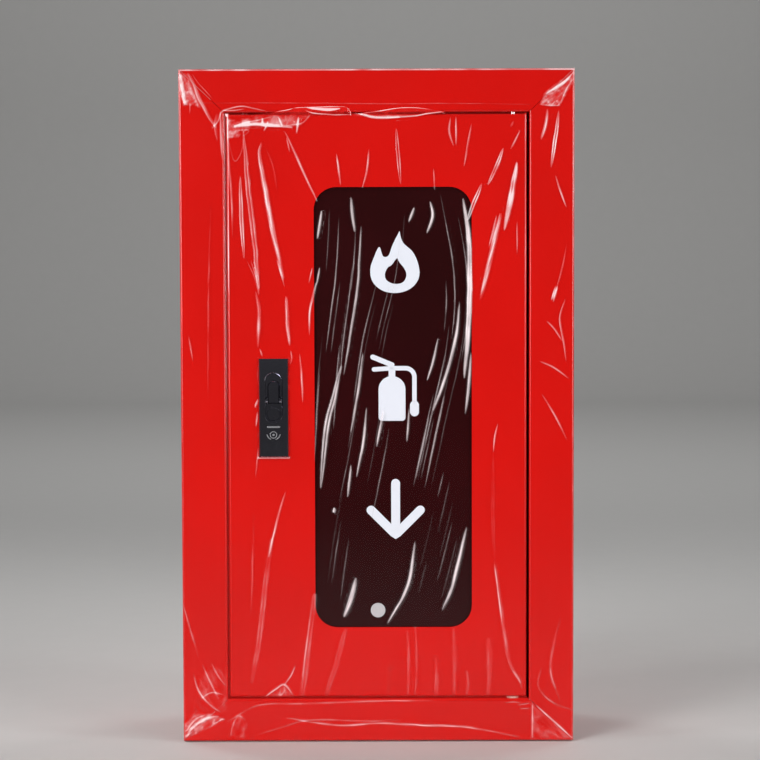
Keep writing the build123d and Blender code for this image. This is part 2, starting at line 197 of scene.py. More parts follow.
def screen_print():
    """White screen ink on acrylic: a cool white, satin, with the mesh's faint texture."""
    material, tree, shader = new_finish("white_screen_ink", IOR=1.45)
    mesh = pattern(tree, 0.5)
    dress(tree, shader, mesh, ("#E6E8F0", "#DADDE8"), mesh, (0.4, 0.5), mesh, 0.01)
    return material


def pale_plastic():
    """A pale grey polystyrene disc, moulded satin."""
    material, tree, shader = new_finish("pale_polystyrene", IOR=1.59)
    grain = pattern(tree, 1.0)
    dress(tree, shader, grain, ("#C4C0C2", "#B8B4B6"), grain, (0.34, 0.46), grain, 0.01)
    return material


def black_chrome():
    """Black chrome on a zinc casting: a dark mirror, a touch uneven where the casting was polished."""
    material, tree, shader = new_finish("black_chrome", Metallic=1.0)
    cloud = pattern(tree, 5, 3.0)
    dress(tree, shader, cloud, ("#AEACB9", "#9C9AA6"), cloud, (0.08, 0.13), pattern(tree, 3), 0.01)
    return material


def silver_fill():
    """Silver paint in the lock's mark: pale grey with a metal sheen."""
    material, tree, shader = new_finish("silver_paint_fill", Metallic=0.6)
    flake = pattern(tree, 0.4)
    dress(tree, shader, flake, ("#A9A9AC", "#8C8D91"), flake, (0.3, 0.45))
    return material


def paper():
    """Pale matt backdrop paper, faintly cloudy."""
    material, tree, shader = new_finish("pale_paper", Roughness=0.9)
    dress(tree, shader, pattern(tree, 30), ("#CCCBC9", "#C9C8C6"))
    return material


def streak(tree, name):
    """How white one layer of folds is. A fold is whitest on its crest, partly from real creasing and partly
    as a painted highlight, and made of fine lines along it.

    The attribute holds three values: the place across the fold, in widths, its whiteness, and the place along
    it, in millimetres."""
    place = add(tree, "ShaderNodeAttribute", attribute_name=name).outputs["Vector"]
    across, white, _ = add(tree, "ShaderNodeSeparateXYZ", {0: place}).outputs
    # About two lines lie side by side in a width, and they change about every 17 mm along it
    drawn = add(tree, "ShaderNodeMapping", {"Vector": place, "Scale": (2.2, 0.0, 0.06)}).outputs[0]
    lines = add(tree, "ShaderNodeTexNoise", {"Vector": drawn, "Scale": 1.0, "Detail": 0.0}).outputs[0]
    off = add(tree, "ShaderNodeMath", {0: across}, operation="ABSOLUTE").outputs[0]
    fall = {0: off, 3: 1.0, 4: 0.0}
    # The crest carries the fold's painted highlight, and the halo a faint painted glow beside it
    crest = add(tree, "ShaderNodeMapRange", fall, interpolation_type="SMOOTHSTEP").outputs[0]
    halo = add(tree, "ShaderNodeMapRange", {0: off, 2: 2.2, 3: 0.22, 4: 0.0}).outputs[0]
    uneven = add(tree, "ShaderNodeMapRange", {0: lines, 1: LOW, 2: HIGH, 3: 0.6, 4: 1.2}).outputs[0]
    body = add(tree, "ShaderNodeMath", {0: crest, 1: uneven, 2: halo}, operation="MULTIPLY_ADD").outputs[0]
    return add(tree, "ShaderNodeMath", {0: body, 1: white}, operation="MULTIPLY").outputs[0]


def wrapping_film():
    """Clear polyethylene film, stretched: it mirrors the lamps faintly, and turns white where it is creased
    and where highlights and glow are painted on it.

    The attribute of its whiteness goes from 0 where it is clear to 1 where it hides what is behind, and the
    folds add to it: partly real creasing, partly painted highlight along the folds and edges, and painted
    glow on the lips in the gap. The attribute paint is 1 over red paint, where the thinner creases are
    painted with red light from the paint, and 2 on the lips, painted with more of that red light as if
    from the paint on both sides."""
    material, tree, shader = new_finish("clear_wrapping_film")
    crease_and_painted_light = add(tree, "ShaderNodeAttribute", attribute_name="crease_and_painted_light").outputs["Fac"]
    for layer in range(LAYERS):
        added = {0: crease_and_painted_light, 1: streak(tree, f"folds_{layer}")}
        crease_and_painted_light = add(tree, "ShaderNodeMath", added, operation="ADD", use_clamp=True).outputs[0]
    paint = add(tree, "ShaderNodeAttribute", attribute_name="paint").outputs["Fac"]
    # Over the paint the thinner creases take the paint's red: painted red light, as if it came through and
    # off the paint
    thin = add(tree, "ShaderNodeMapRange", {0: crease_and_painted_light, 1: 0.1, 2: 1.0, 3: 1.0, 4: 0.12}).outputs[0]
    painted_red_light = add(tree, "ShaderNodeMath", {0: paint, 1: thin}, operation="MULTIPLY").outputs[0]
    # Clear film is a faint mirror that lets nearly all the light through, and white film is a plastic that
    # covers what is behind it
    alpha = add(tree, "ShaderNodeMapRange", {0: crease_and_painted_light, 1: 0.0, 2: 1.0, 3: 0.004, 4: 0.95})
    metal = add(tree, "ShaderNodeMapRange", {0: crease_and_painted_light, 1: 0.02, 2: 0.2, 3: 1.0, 4: 0.0})
    tree.links.new(alpha.outputs[0], shader.inputs["Alpha"])
    tree.links.new(metal.outputs[0], shader.inputs["Metallic"])
    # Stretched film has fine ripples down the pull, about 2 mm apart, under the relief of its creases
    ripples = pattern(tree, 2.0, 2.0, stretch=(1, 1, 12))
    relief = add(tree, "ShaderNodeMath", {0: crease_and_painted_light, 1: 3.0, 2: ripples}, operation="MULTIPLY_ADD").outputs[0]
    dress(tree, shader, painted_red_light, ("#FFEFF1", "#FF2A26"), ripples, (0.1, 0.18), relief, 0.04)
    return material


# Meshes

def linked(name, data):
    """A mesh, lamp or camera as an object of the scene."""
    made = bpy.data.objects.new(name, data)
    bpy.context.scene.collection.objects.link(made)
    return made


def piece_from_grid(name, points, material, keep=None, around=False, mend=False):
    """A smooth mesh over a grid of points in millimetres, with a face between each four neighbours where keep
    is true: the piece, and the numbers of the points that it uses.

    around joins the last column to the first. mend merges the points that meet at a pole and turns the
    normals of a closed form outwards."""
    rows, columns = points.shape[:2]
    number = np.arange(rows * columns).reshape(rows, columns)
    if around:
        number = np.hstack([number, number[:, :1]])
    faces = np.stack([number[:-1, :-1], number[:-1, 1:], number[1:, 1:], number[1:, :-1]], axis=-1)
    faces = faces[keep] if keep is not None else faces.reshape(-1, 4)
    used, faces = np.unique(faces, return_inverse=True)
    mesh = bpy.data.meshes.new(name)
    mesh.from_pydata((points.reshape(-1, 3)[used] * MM).tolist(), [], faces.reshape(-1, 4).tolist())
    mesh.materials.append(material)
    if mend:
        form = bmesh.new()
        form.from_mesh(mesh)
        bmesh.ops.remove_doubles(form, verts=form.verts, dist=0.001 * MM)
        bmesh.ops.recalc_face_normals(form, faces=form.faces)
        form.to_mesh(mesh)
        form.free()
    mesh.polygons.foreach_set("use_smooth", np.ones(len(mesh.polygons), bool))
    return linked(name, mesh), used


def joined(name, pieces):
    """Several meshes of one material as one piece."""
    form = bmesh.new()
    for piece in pieces:
        form.from_mesh(piece.data)
    mesh = bpy.data.meshes.new(name)
    form.to_mesh(mesh)
    form.free()
    mesh.materials.append(pieces[0].data.materials[0])
    mesh.polygons.foreach_set("use_smooth", np.ones(len(mesh.polygons), bool))
    for piece in pieces:
        bpy.data.objects.remove(piece)
    return linked(name, mesh)


# Flat signs

INK = 0.15  # thickness of the print
SIGN_X = 16.0  # middle of the signs across, and up for each
FLAME_Z, EXTINGUISHER_Z, ARROW_Z = 129.0, 18.0, -91.0


def rounded(angle, power):
    """The cosine and sine of an angle, their sizes raised to a power: under 1 they make a fuller corner."""
    cosine, sine = np.cos(angle), np.sin(angle)
    return np.sign(cosine) * np.abs(cosine) ** power, np.sign(sine) * np.abs(sine) ** power


def flat_form(name, flat, out, front, material):
    """A form of rows of places across and up, each standing out from the front by INK (1 + out) / 2."""
    depth = np.broadcast_to(front - INK * (1 + out) / 2, flat.shape[:2])
    points = np.stack([flat[..., 0], depth, flat[..., 1]], axis=-1)
    return piece_from_grid(name, points, material, around=True, mend=True)[0]


def bar(name, path, width, front, material, closed=False):
    """A flat bar along a path of X and Z. Its section is a rounded oblong: across is half the width times c,
    and out is s, with c and s from rounded(). An open bar ends round: rows past each end stand off by half
    the width times sin(t), and are cos(t) as wide."""
    path = np.array(path, float)
    if closed:
        along = np.roll(path, -1, axis=0) - np.roll(path, 1, axis=0)
    else:
        along = np.gradient(path, axis=0)
    along /= np.linalg.norm(along, axis=1)[:, None]
    half = np.full(len(path), width / 2)
    if closed:
        path, along, half = (np.concatenate([x, x[:1]]) for x in (path, along, half))
    else:
        turn = np.linspace(0, math.pi / 2, 7)[1:]
        off, narrow = width / 2 * np.sin(turn), width / 2 * np.cos(turn)
        first, last = path[:1] - off[::-1, None] * along[:1], path[-1:] + off[:, None] * along[-1:]
        path = np.concatenate([first, path, last])
        rows = len(turn)
        along = np.concatenate([np.repeat(along[:1], rows, 0), along, np.repeat(along[-1:], rows, 0)])
        half = np.concatenate([narrow[::-1], half, narrow])
    across, out = rounded(np.linspace(0, 2 * math.pi, 16, endpoint=False), 0.4)
    side = np.stack([-along[:, 1], along[:, 0]], axis=1)
    flat = path[:, None] + side[:, None] * (half[:, None] * across)[..., None]
    return flat_form(name, flat, out, front, material)


def pebble(name, outline, front, material):
    """A flat filled form. Rows shrink the outline to its middle at the front and the back: each is c times
    the outline, and out is s, with c and s from rounded()."""
    outline = np.array(outline, float)
    middle = outline.mean(axis=0)
    share, out = rounded(np.linspace(math.pi / 2, -math.pi / 2, 15), 0.3)
    flat = middle + share[:, None, None] * (outline - middle)
    return flat_form(name, flat, out[:, None], front, material)


def straight(*corners):
    """A path through corners, with a point about every 2 mm."""
    parts = []
    for start, end in zip(corners, corners[1:]):
        count = max(2, int(math.dist(start, end) / 2))
        parts.append(np.linspace(start, end, count, endpoint=False))
    return np.concatenate([*parts, [corners[-1]]])


def band(name, outer, inner, front, material):
    """A flat form with a hole. Its section lies (1 + c) / 2 of the way from the outer outline to the inner
    one, and out is s, with c and s from rounded(). Both outlines have as many points."""
    share, out = rounded(np.linspace(0, 2 * math.pi, 20, endpoint=False), 0.3)
    mix = ((1 + share) / 2)[None, :, None]
    flat = outer[:, None] * (1 - mix) + inner[:, None] * mix
    return flat_form(name, np.concatenate([flat, flat[:1]]), out, front, material)


def evenly(points, count):
    """A closed curve through points, cut into so many even steps."""
    line = smooth_line([*points, points[0]], 16)
    run = np.concatenate([[0], np.cumsum(np.linalg.norm(np.diff(line, axis=0), axis=1))])
    at = np.linspace(0, run[-1], count, endpoint=False)
    return np.stack([np.interp(at, run, line[:, 0]), np.interp(at, run, line[:, 1])], axis=1)


def arc(middle, radius, first, last, count=24):
    """Part of a circle between two angles in degrees, measured from X towards Z."""
    t = np.radians(np.linspace(first, last, count))
    return np.stack([middle[0] + radius * np.cos(t), middle[1] + radius * np.sin(t)], axis=1)


def flame_sign(ink):
    """A flame with a tall tongue, a small one at its left, and a drop shaped hole: points from its middle."""
    tongues = [
        (4, 28), (7, 18), (16, 9), (21, -3), (21, -14), (14, -23), (2, -27),
        (-11, -25), (-20, -17), (-22, -6), (-19, 4), (-14, 14), (-11, 6), (-6, 6), (-2, 16),
    ]
    hole = [
        (2, 4), (4, 0), (8, -5), (10, -10), (9, -15), (6, -18), (1, -19),
        (-4, -18), (-8, -15), (-9, -11), (-8, -7), (-6, -4), (-4, -3), (-2, -1), (0, 2),
    ]
    middle = np.array([SIGN_X, FLAME_Z])
    outlines = [middle + evenly(points, 120) for points in (tongues, hole)]
    return band("sign_flame", *outlines, PANE_FRONT, ink)


def extinguisher_sign(ink):
    """An extinguisher from the side: a bottle, a neck, two levers, and a hose that hangs at its side."""
    x, z = SIGN_X - 3, EXTINGUISHER_Z  # the bottle's middle line, and the middle of the sign's height
    radius, foot, shoulder = 12.0, z - 30, z + 8
    bottle = np.concatenate(
        [
            arc((x, shoulder - radius + 2), radius, 0, 180, 30),
            arc((x - radius + 3, foot + 3), 3, 180, 270, 8),
            arc((x + radius - 3, foot + 3), 3, 270, 360, 8),
        ]
    )
    hose = np.concatenate(
        [
            straight((x, z + 17), (x + 12, z + 17)),
            arc((x + 12, z + 9), 8, 90, 0, 12)[1:],
            straight((x + 20, z + 8), (x + 20, z - 14)),
        ]
    )
    parts = [
        pebble("bottle", bottle, PANE_FRONT, ink),
        bar("neck", straight((x, z + 8), (x, z + 16)), 6, PANE_FRONT, ink),
        bar("lever_up", straight((x, z + 20), (x - 17, z + 27)), 4.5, PANE_FRONT, ink),
        bar("lever_down", straight((x, z + 17), (x - 16, z + 16)), 4, PANE_FRONT, ink),
        bar("hose", hose, 4, PANE_FRONT, ink),
        bar("nozzle", straight((x + 20, z - 16), (x + 20, z - 22)), 8, PANE_FRONT, ink),
    ]
    return joined("sign_extinguisher", parts)


def arrow_sign(ink):
    """A thick arrow that points down."""
    z = ARROW_Z
    shaft = bar("shaft", straight((SIGN_X, z + 23), (SIGN_X, z - 18)), 8, PANE_FRONT, ink)
    head = straight((SIGN_X - 22, z - 1), (SIGN_X, z - 23), (SIGN_X + 22, z - 1))
    return joined("sign_arrow", [shaft, bar("head", head, 8, PANE_FRONT, ink)])


def lock_mark(fill):
    """The mark on the lock's pad: a bar over a ring with a dot in it, between two arcs."""
    x = (lock[0][0] + lock[1][0]) / 2
    z = (lock[0][2] + lock[1][2]) / 2 - PAD_DROP
    front = lock[0][1]
    parts = [
        bar("mark_bar", straight((x - 5.2, z + 5.0), (x + 5.2, z + 5.0)), 1.5, front, fill),
        bar("mark_ring", arc((x, z - 2.0), 2.9, 0, 350, 36), 0.7, front, fill, closed=True),
        bar("mark_left", arc((x, z - 0.4), 6.0, 195, 245, 12), 0.8, front, fill),
        bar("mark_right", arc((x, z - 0.4), 6.0, 295, 345, 12), 0.8, front, fill),
        pebble("mark_dot", arc((x, z - 2.0), 1.0, 0, 350, 18), front, fill),
    ]
    return joined("lock_mark", parts)


# Film: how it lies

LIFT = 0.3  # from the paint to the film
LIP_TURN = math.radians(25)  # how far its edges turn down into the gap, apart from the hinge side
LIP_GLOW, TOP_GLOW_SHARE = 0.32, 0.55  # painted glow on those lips, standing in for light in the gap, and its share at the top, where the gap is darker


def clamp(values):
    """Values kept from 0 to 1."""
    return np.clip(values, 0, 1)


def bell(values, middle, width):
    """1 at the middle, falling off on both sides with the square of the distance in widths."""
    return np.exp(-(((values - middle) / width) ** 2))


def turned_over(a, b, half_a, half_b, bend, side, lift, most=math.pi / 2):
    """Where a flat sheet comes to lie that is turned down over the straight edges of a face, round a bend.

    a and b are the flat places across and up. side is 1 for an outer edge and -1 for the edge of an opening.
    Past the line where the bend starts the sheet turns by t = past / (bend + LIFT), up to the angle most. It
    runs sideways by r sin(t) and falls by bend - r cos(t), with r = bend + lift, then goes straight on."""
    start_a, start_b = half_a - side * bend, half_b - side * bend
    over_a, over_b = side * (np.abs(a) - start_a), side * (np.abs(b) - start_b)
    past = np.maximum(over_a, over_b) if side > 0 else np.minimum(over_a, over_b)
    past = np.maximum(past, 0)
    turn = np.minimum(past / (bend + LIFT), most)
    beyond = np.maximum(past - (bend + LIFT) * most, 0)
    radius = bend + lift
    run = radius * np.sin(turn) + beyond * np.cos(most)
    fall = bend - radius * np.cos(turn) + beyond * np.sin(most)
    x = a * (start_a + side * run) / (start_a + side * past)
    z = b * (start_b + side * run) / (start_b + side * past)
    return np.stack([x, FACE + fall, z], axis=-1)


def steps(stops, sizes):
    """Places from the first stop to the last. Each span is split evenly into steps of about its size."""
    spans = [
        np.linspace(start, end, max(1, round((end - start) / size)), endpoint=False)
        for start, end, size in zip(stops, stops[1:], sizes)
    ]
    return np.concatenate([*spans, stops[-1:]])


def smooth_line(points, count=10):
    """A curve through points. Each span is a cubic whose slope at each end is half the way from the point
    before it to the point after it."""
    points = np.array(points, float)
    if len(points) < 3:
        return points
    padded = np.concatenate([2 * points[:1] - points[1:2], points, 2 * points[-1:] - points[-2:-1]])
    t = np.linspace(0, 1, count, endpoint=False)[:, None]
    spans = []
    for p0, p1, p2, p3 in zip(padded, padded[1:], padded[2:], padded[3:]):
        square, cube = 2 * p0 - 5 * p1 + 4 * p2 - p3, 3 * (p1 - p2) + p3 - p0
        spans.append(0.5 * (2 * p1 + (p2 - p0) * t + square * t**2 + cube * t**3))
    return np.concatenate([*spans, points[-1:]])


def nearest(places, line):
    """How far each place is from a line, positive on the line's left, and how far along it the nearest spot
    is, in millimetres and as a share of its length."""
    start, step = line[:-1], np.diff(line, axis=0)
    length = np.linalg.norm(step, axis=1)
    offset = places[:, None] - start
    share = np.clip((offset * step).sum(axis=2) / length**2, 0, 1)
    gap = np.linalg.norm(offset - share[..., None] * step, axis=2)
    best = gap.argmin(axis=1)
    row = np.arange(len(places))
    run = np.concatenate([[0], np.cumsum(length)])
    along = run[best] + share[row, best] * length[best]
    turn = step[best, 0] * offset[row, best, 1] - step[best, 1] * offset[row, best, 0]
    return gap[row, best] * np.where(turn < 0, -1, 1), along, along / run[-1]


def mottle(a, b, cell, seed):
    """Smooth random values from 0 to 1: random numbers on a lattice, a cell apart, and blended between."""
    size = 512  # points on a side of the lattice
    lattice = np.random.default_rng(seed).random((size, size))
    u, v = a / cell + size / 2, b / cell + size / 2
    i, j = np.floor(u).astype(int), np.floor(v).astype(int)
    s, t = u - i, v - j
    s, t = s * s * (3 - 2 * s), t * t * (3 - 2 * t)
    i, j = i % (size - 1), j % (size - 1)
    low = lattice[i, j] * (1 - s) + lattice[i + 1, j] * s
    high = lattice[i, j + 1] * (1 - s) + lattice[i + 1, j + 1] * s
    return low * (1 - t) + high * t


def within(places, outline):
    """True for each place inside a closed outline: a line from it to the right crosses the outline an odd
    number of times."""
    inside = np.zeros(len(places), bool)
    for (a0, b0), (a1, b1) in zip(outline, np.roll(outline, -1, axis=0)):
        if b0 == b1:
            continue
        spans = (b0 > places[:, 1]) != (b1 > places[:, 1])
        inside ^= spans & (places[:, 0] < (a1 - a0) * (places[:, 1] - b0) / (b1 - b0) + a0)
    return inside


class Film:
    """A sheet of film, built up fold by fold on a grid of flat places a across and b up.

    At each place it has a height over the tight film, a whiteness from 0 to 1 that is partly real creasing
    and partly painted highlight and glow, the paint under it, and in each layer the three values that
    streak() reads."""

    def __init__(self, across, up):
        self.a, self.b = (x.ravel() for x in np.meshgrid(across, up))
        self.shape = (len(up), len(across))
        self.height = np.zeros(self.a.size)
        self.white = np.zeros(self.a.size)
        self.paint = np.ones(self.a.size)
        self.layers = np.zeros((LAYERS, self.a.size, 3))
        self.folds = 0

    def near(self, line, reach):
        """Numbers of the grid points in the box round a line, widened by reach."""
        low, high = line.min(axis=0) - reach, line.max(axis=0) + reach
        return np.flatnonzero((self.a > low[0]) & (self.a < high[0]) & (self.b > low[1]) & (self.b < high[1]))

    def fold(self, width, white, *points, twin=0.0, rise=0.2, blunt=0.6):
        """A raised fold along the line through these points. It is spindle shaped: at a share s of its length
        its height and width go with (4 s (1 - s)) ^ blunt. Its height is rise times its width, and falls off
        as a bell. Its crest is white, partly from real creasing and partly as a painted highlight, with a
        sharp side on the line's right and a soft one on its left. With twin, it is white down both flanks
        instead, as painted highlights at that distance from the crest. The line wavers a little about every 9
        mm, and its whiteness comes and goes about every 11 mm."""
        self.folds += 1
        line = smooth_line(points)
        spot = self.near(line, 1.5 * width + twin + 5)
        if not len(spot):
            return
        gap, along, share = nearest(np.stack([self.a[spot], self.b[spot]], axis=1), line)
        lane = np.full_like(along, self.folds * 3.7)
        gap += 0.22 * min(width, 2.0) * (mottle(along, lane, 9.0, seed=12) - 0.5)
        taper = clamp(4 * share * (1 - share)) ** blunt
        girth = width * (0.45 + 0.55 * taper)
        self.height[spot] += rise * width * taper * bell(gap, 0, girth)
        breaks = clamp(0.6 + 0.6 * mottle(along, lane, 11.0, seed=11))
        for side in (-1, 1) if twin else (0,):
            off = gap - side * twin * taper
            thick = girth * np.where(off < 0, 0.85, 1.45) * (0.65 if twin else 1.0)
            self.draw(spot, off, thick, along, white * taper**0.7 * breaks)

    def draw(self, spot, gap, thick, along, white):
        """Put a line in the first layer that is free round it: the place across it in widths, its whiteness,
        and the place along it. The whiteness fades out well past the line's own width, so that the grid's
        cells don't show in it. Where no layer is free, the line is laid on the grid itself."""
        amount = white * clamp((thick / 2 + 3.4 - np.abs(gap)) / 2)
        amount = np.where(amount > 0.002, amount, 0)
        values = np.stack([gap / thick, amount, along + 41.0 * self.folds], axis=1)
        for layer in self.layers:
            taken = layer[spot, 1] > 0
            if not (taken & (amount > 0)).any():
                layer[spot[~taken]] = values[~taken]
                return
        self.add_white(spot, white * bell(gap, 0, 0.6 * thick))

    def bundle(self, points, count, spread, width, white, seed):
        """Faint folds beside a line. Each is a random stretch of it, set off sideways by up to the spread."""
        random = np.random.default_rng(seed)
        line = smooth_line(points)
        along = np.gradient(line, axis=0)
        side = np.stack([-along[:, 1], along[:, 0]], axis=1) / np.linalg.norm(along, axis=1)[:, None]
        for first, length, offset, share in random.random((count, 4)):
            start = int(0.75 * first * len(line))
            end = min(len(line), start + int((0.2 + 0.5 * length) * len(line)))
            stretch = (line + spread * (2 * offset - 1) * side)[start:end:4]
            if len(stretch) > 1:
                self.fold(width, white * (0.4 + 0.6 * share), *stretch, rise=0.1)

    def add_white(self, spot, amount):
        """Lay more whiteness over what is there, so that it never passes 1."""
        self.white[spot] = 1 - (1 - self.white[spot]) * (1 - clamp(amount))

    def gather(self, outline, white, soft=2.0, cell=3.0, rough=0.35, pull=(0.0, 1.0), draw=3.0, seed=1):
        """A crumpled patch: small sharp ridges all over it, and a milky haze that is whitest on them, where a
        painted highlight adds to it. The ridges are about cell apart, draw times as long in the direction of
        the pull, and rough high. The patch fades at its edge over soft millimetres."""
        outline = np.array(outline, float)
        line = np.concatenate([outline, outline[:1]])
        spot = self.near(line, soft)
        places = np.stack([self.a[spot], self.b[spot]], axis=1)
        gap = np.abs(nearest(places, line)[0])
        gap = np.where(within(places, outline), gap, -gap)
        share = clamp(gap / soft + 0.5)
        way = np.array(pull) / math.hypot(*pull)
        u, v = places @ way / draw, places @ np.array([way[1], -way[0]])
        ridge = (1 - np.abs(2 * mottle(v, u, cell, seed) - 1)) ** 3
        ridge = 0.6 * ridge + 0.4 * (1 - np.abs(2 * mottle(v, u, 0.45 * cell, seed + 1) - 1)) ** 3
        cloud = 0.4 + 1.2 * mottle(u, v, 2.5 * cell, seed + 2)
        self.height[spot] += rough * share * ridge
        self.add_white(spot, white * share * cloud * (0.25 + 1.3 * ridge))

    def paint_light(self, amount):
        """Whiteness over the whole sheet, one value for each grid point: used for painted highlights and
        painted glow.
        """
        self.add_white(np.arange(self.a.size), amount)

    def piece(self, name, points, keep, material):
        """The sheet as a piece, with its whiteness, the paint under it and its folds as attributes."""
        made, used = piece_from_grid(name, points.reshape(*self.shape, 3), material, keep=keep)
        new = made.data.attributes.new
        for label, values in (("crease_and_painted_light", self.white), ("paint", self.paint)):
            new(label, "FLOAT", "POINT").data.foreach_set("value", values[used].astype(np.float32))
        for number, layer in enumerate(self.layers):
            values = layer[used].astype(np.float32).ravel()
            new(f"folds_{number}", "FLOAT_VECTOR", "POINT").data.foreach_set("vector", values)
        return made


def cells(across, up):
    """The middle of each cell of a grid, across and up."""
    return np.meshgrid((across[:-1] + across[1:]) / 2, (up[:-1] + up[1:]) / 2)


# Film: its folds

def door_folds(film):
    """The film on the door: pulled from its top corners down over the window.

    A fold has a width, a whiteness, and points across and up from the cabinet's middle, in millimetres, that
    were read off the photograph. A gather has an outline and a whiteness, and a bundle the line that it
    follows."""
    fold, gather, bundle = film.fold, film.gather, film.bundle
    # The slack that hangs from the gap at the top left, down to a fold that runs along it
    slack = [(-126, 250), (-80, 249), (-66, 250), (-55, 261), (-78, 264), (-108, 259)]
    gather(slack, 0.24, soft=3, cell=4, pull=(1.0, 0.15), seed=5)
    gather([(-95, 250), (-70, 250), (-72, 260), (-92, 260)], 0.3, soft=4, cell=3, pull=(0.3, 1.0), seed=6)
    corner = [(-133, 256), (-112, 256), (-112, 248), (-122, 240), (-132, 239)]
    gather(corner, 0.5, cell=2.5, draw=1.5, seed=3)
    fold(1.9, 1.0, (-127, 249), (-110, 251), (-93, 250), (-80, 249), (-74, 248), blunt=0.3)
    fold(0.9, 0.5, (-128, 248), (-119, 252), (-104, 255), (-92, 258))
    fold(1.0, 0.4, (-124, 246), (-113, 246), (-118, 241))
    fold(1.3, 0.8, (-101, 257), (-101, 252), (-99, 249))
    fold(1.0, 0.8, (-96, 254), (-98, 249), (-100, 245))
    fold(1.0, 0.6, (-87, 258), (-85, 253), (-83, 249))
    fold(1.4, 0.9, (-69, 258), (-70, 251), (-71, 243))
    fold(1.0, 0.35, (-79, 250), (-66, 252), (-58, 260))
    fold(1.2, 1.0, (-134, 262), (-133, 258))
    # The flap over the gap right of it, with a bright fold in the middle
    gather([(-78, 259), (-30, 260), (-25, 266), (-70, 266)], 0.3, soft=2, cell=3, pull=(1.0, 0.1), seed=7)
    fold(1.7, 1.0, (-62, 265.5), (-52, 264.6), (-42, 263.6), (-32, 265.0), blunt=0.4)
    rim = [(-90, 262), (-78, 264), (-70, 266), (-42, 266.6), (-29, 266.6), (-24, 264), (-23, 259)]
    fold(0.9, 0.85, *rim, blunt=0.2)
    fold(0.9, 0.7, (-64, 264), (-56, 261), (-40, 259.5), (-22, 259.5), blunt=0.3)
    # The lens shaped flap right of the middle
    lens = [(-18, 259), (-3, 257), (10, 256.5), (30, 258), (62, 262), (45, 264), (24, 265.5), (5, 263)]
    gather(lens, 0.3, soft=1.5, cell=3, pull=(1.0, 0.0), draw=5, seed=8)
    fold(1.4, 1.0, (-22, 260.5), (-14, 260), (-4, 257.2), (9, 256.6), (21, 257.2), blunt=0.4)
    fold(0.9, 0.7, (10, 256.6), (32, 258), (45, 260.2), (62, 262), blunt=0.4)
    rim = [(-12, 261), (3, 262.6), (15, 264.8), (24, 265.6), (36, 265.4), (46, 264.2), (61, 262.6)]
    fold(0.9, 0.75, *rim, blunt=0.3)
    # Long streaks down the left side
    fold(2.2, 0.6, (-118, 246), (-116, 222), (-114, 194), (-109, 149), (-105, 100), twin=1.4)
    fold(2.8, 0.95, (-102, 236), (-104, 224), (-99, 193), (-93, 158), (-83, 114))
    fold(1.6, 0.8, (-121, 206), (-120, 165), (-118, 132), twin=1.1)
    fold(1.4, 0.5, (-131, 240), (-131, 220), (-129, 190), (-128, 150))
    fold(0.9, 0.35, (-131, 236), (-126, 219), (-120, 226), (-117, 240))
    fold(1.5, 0.8, (-83, 246), (-79, 240), (-66, 211), (-53, 183))
    fold(1.1, 0.5, (-80, 240), (-77, 226))
    fold(1.6, 0.25, (-99, 232), (-92, 214), (-88, 190))
    # Short streaks along the top
    fold(1.2, 0.75, (-36, 226), (-32, 197))
    fold(1.2, 0.75, (-7, 230), (-9, 210), (-13, 195))
    fold(1.3, 0.75, (17, 248), (19, 222), (21, 198), twin=1.1)
    fold(1.1, 0.55, (50, 212), (51, 193))
    fold(1.4, 0.8, (65, 257), (64, 244), (68, 231))
    fold(1.2, 0.85, (70, 258), (70, 232))
    fold(1.2, 0.7, (84, 252), (80, 232), (77, 213))
    fold(1.2, 0.7, (127, 246), (122, 236), (118, 228))
    fold(1.6, 0.8, (112, 230), (106, 214), (98, 197), twin=1.0)
    fold(2.8, 0.95, (124, 218), (119, 190), (112.5, 157), twin=1.2)
    fold(1.5, 0.8, (93, 199), (86, 182), (80, 166), twin=1.1)
    fold(2.7, 0.95, (109.5, 173), (101, 138), (91, 95))
    fold(1.2, 0.6, (106, 171), (99, 142))
    fold(1.0, 0.55, (124, 166), (124, 135))
    fold(1.6, 0.4, (121, 254), (118, 248))
    # Over the window
    fold(1.5, 0.9, (-23, 187), (-22, 172), (-20, 156))
    fold(1.3, 0.6, (-14, 162), (-16, 132), (-18, 105), (-30, 29))
    fold(1.3, 0.75, (-49, 176), (-53, 150))
    fold(1.2, 0.8, (33, 178), (28, 165))
    fold(1.3, 0.9, (47, 183), (49, 170), (44, 155))
    fold(2.4, 0.9, (76, 186), (81, 150), (82, 110), (80, 60), (77, 26), twin=1.1)
    fold(1.6, 0.85, (73, 94), (70, 66), (62, 33), (49, -4))
    fold(1.2, 0.7, (54, 62), (50, 44), (44, 24))
    fold(1.8, 0.7, (-32, 38), (-39, 10), (-46, -20), (-51, -72), twin=1.4)
    fold(1.3, 0.6, (-13, 49), (-18, 12), (-24, -22))
    fold(1.3, 0.75, (-10, 0), (-13, -30), (-19, -62))
    fold(1.2, 0.7, (5, -2), (2, -18), (-1, -35))
    fold(1.1, 0.6, (28, 0), (26, -31))
    fold(1.5, 0.7, (83, 49), (81, 20), (78, -6))
    fold(1.2, 0.65, (-24, -51), (-27, -80))
    fold(1.6, 0.9, (-39, -89), (-40, -95))
    fold(2.4, 0.85, (-20, -152), (-25, -172), (-31, -188))
    fold(1.6, 0.85, (33, -120), (26, -160), (8, -194))
    fold(1.8, 0.85, (79, -107), (66, -160), (57, -182))
